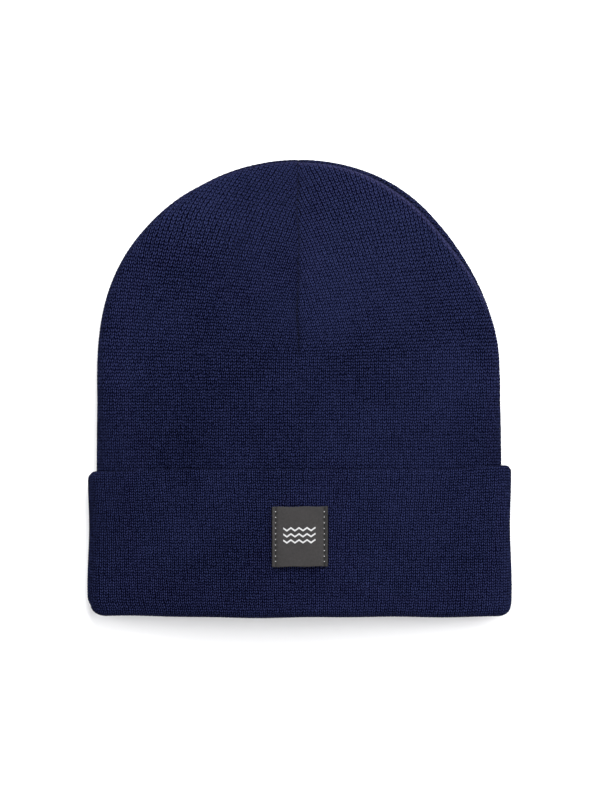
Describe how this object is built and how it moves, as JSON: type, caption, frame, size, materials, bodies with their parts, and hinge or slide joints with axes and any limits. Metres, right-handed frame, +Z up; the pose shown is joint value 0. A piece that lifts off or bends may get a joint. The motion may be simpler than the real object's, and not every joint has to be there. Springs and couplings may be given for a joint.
{
  "type": "knit beanie",
  "caption": "Cuffed knit beanie lying flat: double-layer body, darted round crown, turned-up cuff with a plain woven label.",
  "frame": {"origin": "on the table, under the middle of the hat's length and width as it lies flat", "axes": "+Z up from the table, +Y from the bottom fold of the cuff to the crown, +X to the wearer's left as seen from the labelled front"},
  "size_m": [0.212, 0.228, 0.0338],
  "materials": {
    "body_knit": "matte stockinette knit",
    "cuff_knit": "matte stockinette knit",
    "lining_knit": "matte stockinette knit",
    "seam_thread": "matte thread",
    "label_weave": "satin weave",
    "label_thread": "smooth sewing thread",
    "care_label_satin": "smooth satin ribbon",
    "care_label_thread": "smooth sewing thread"
  },
  "bodies": {
    "root": {"body_lining": "lining_knit", "body_lining_front_seam": "seam_thread", "body_lining_back_seam": "seam_thread", "body_lining_left_seam": "seam_thread", "body_lining_right_seam": "seam_thread", "body_outer_layer": "body_knit", "body_outer_layer_front_seam": "seam_thread", "body_outer_layer_back_seam": "seam_thread", "body_outer_layer_left_seam": "seam_thread", "body_outer_layer_right_seam": "seam_thread", "crown_tack": "seam_thread", "cuff_inner_layer": "cuff_knit", "cuff_outer_layer": "cuff_knit", "label": "label_weave", "label_stitches_left": "label_thread", "label_stitches_right": "label_thread", "care_label": "care_label_satin", "care_label_stitches": "care_label_thread"}
  },
  "joints": []
}
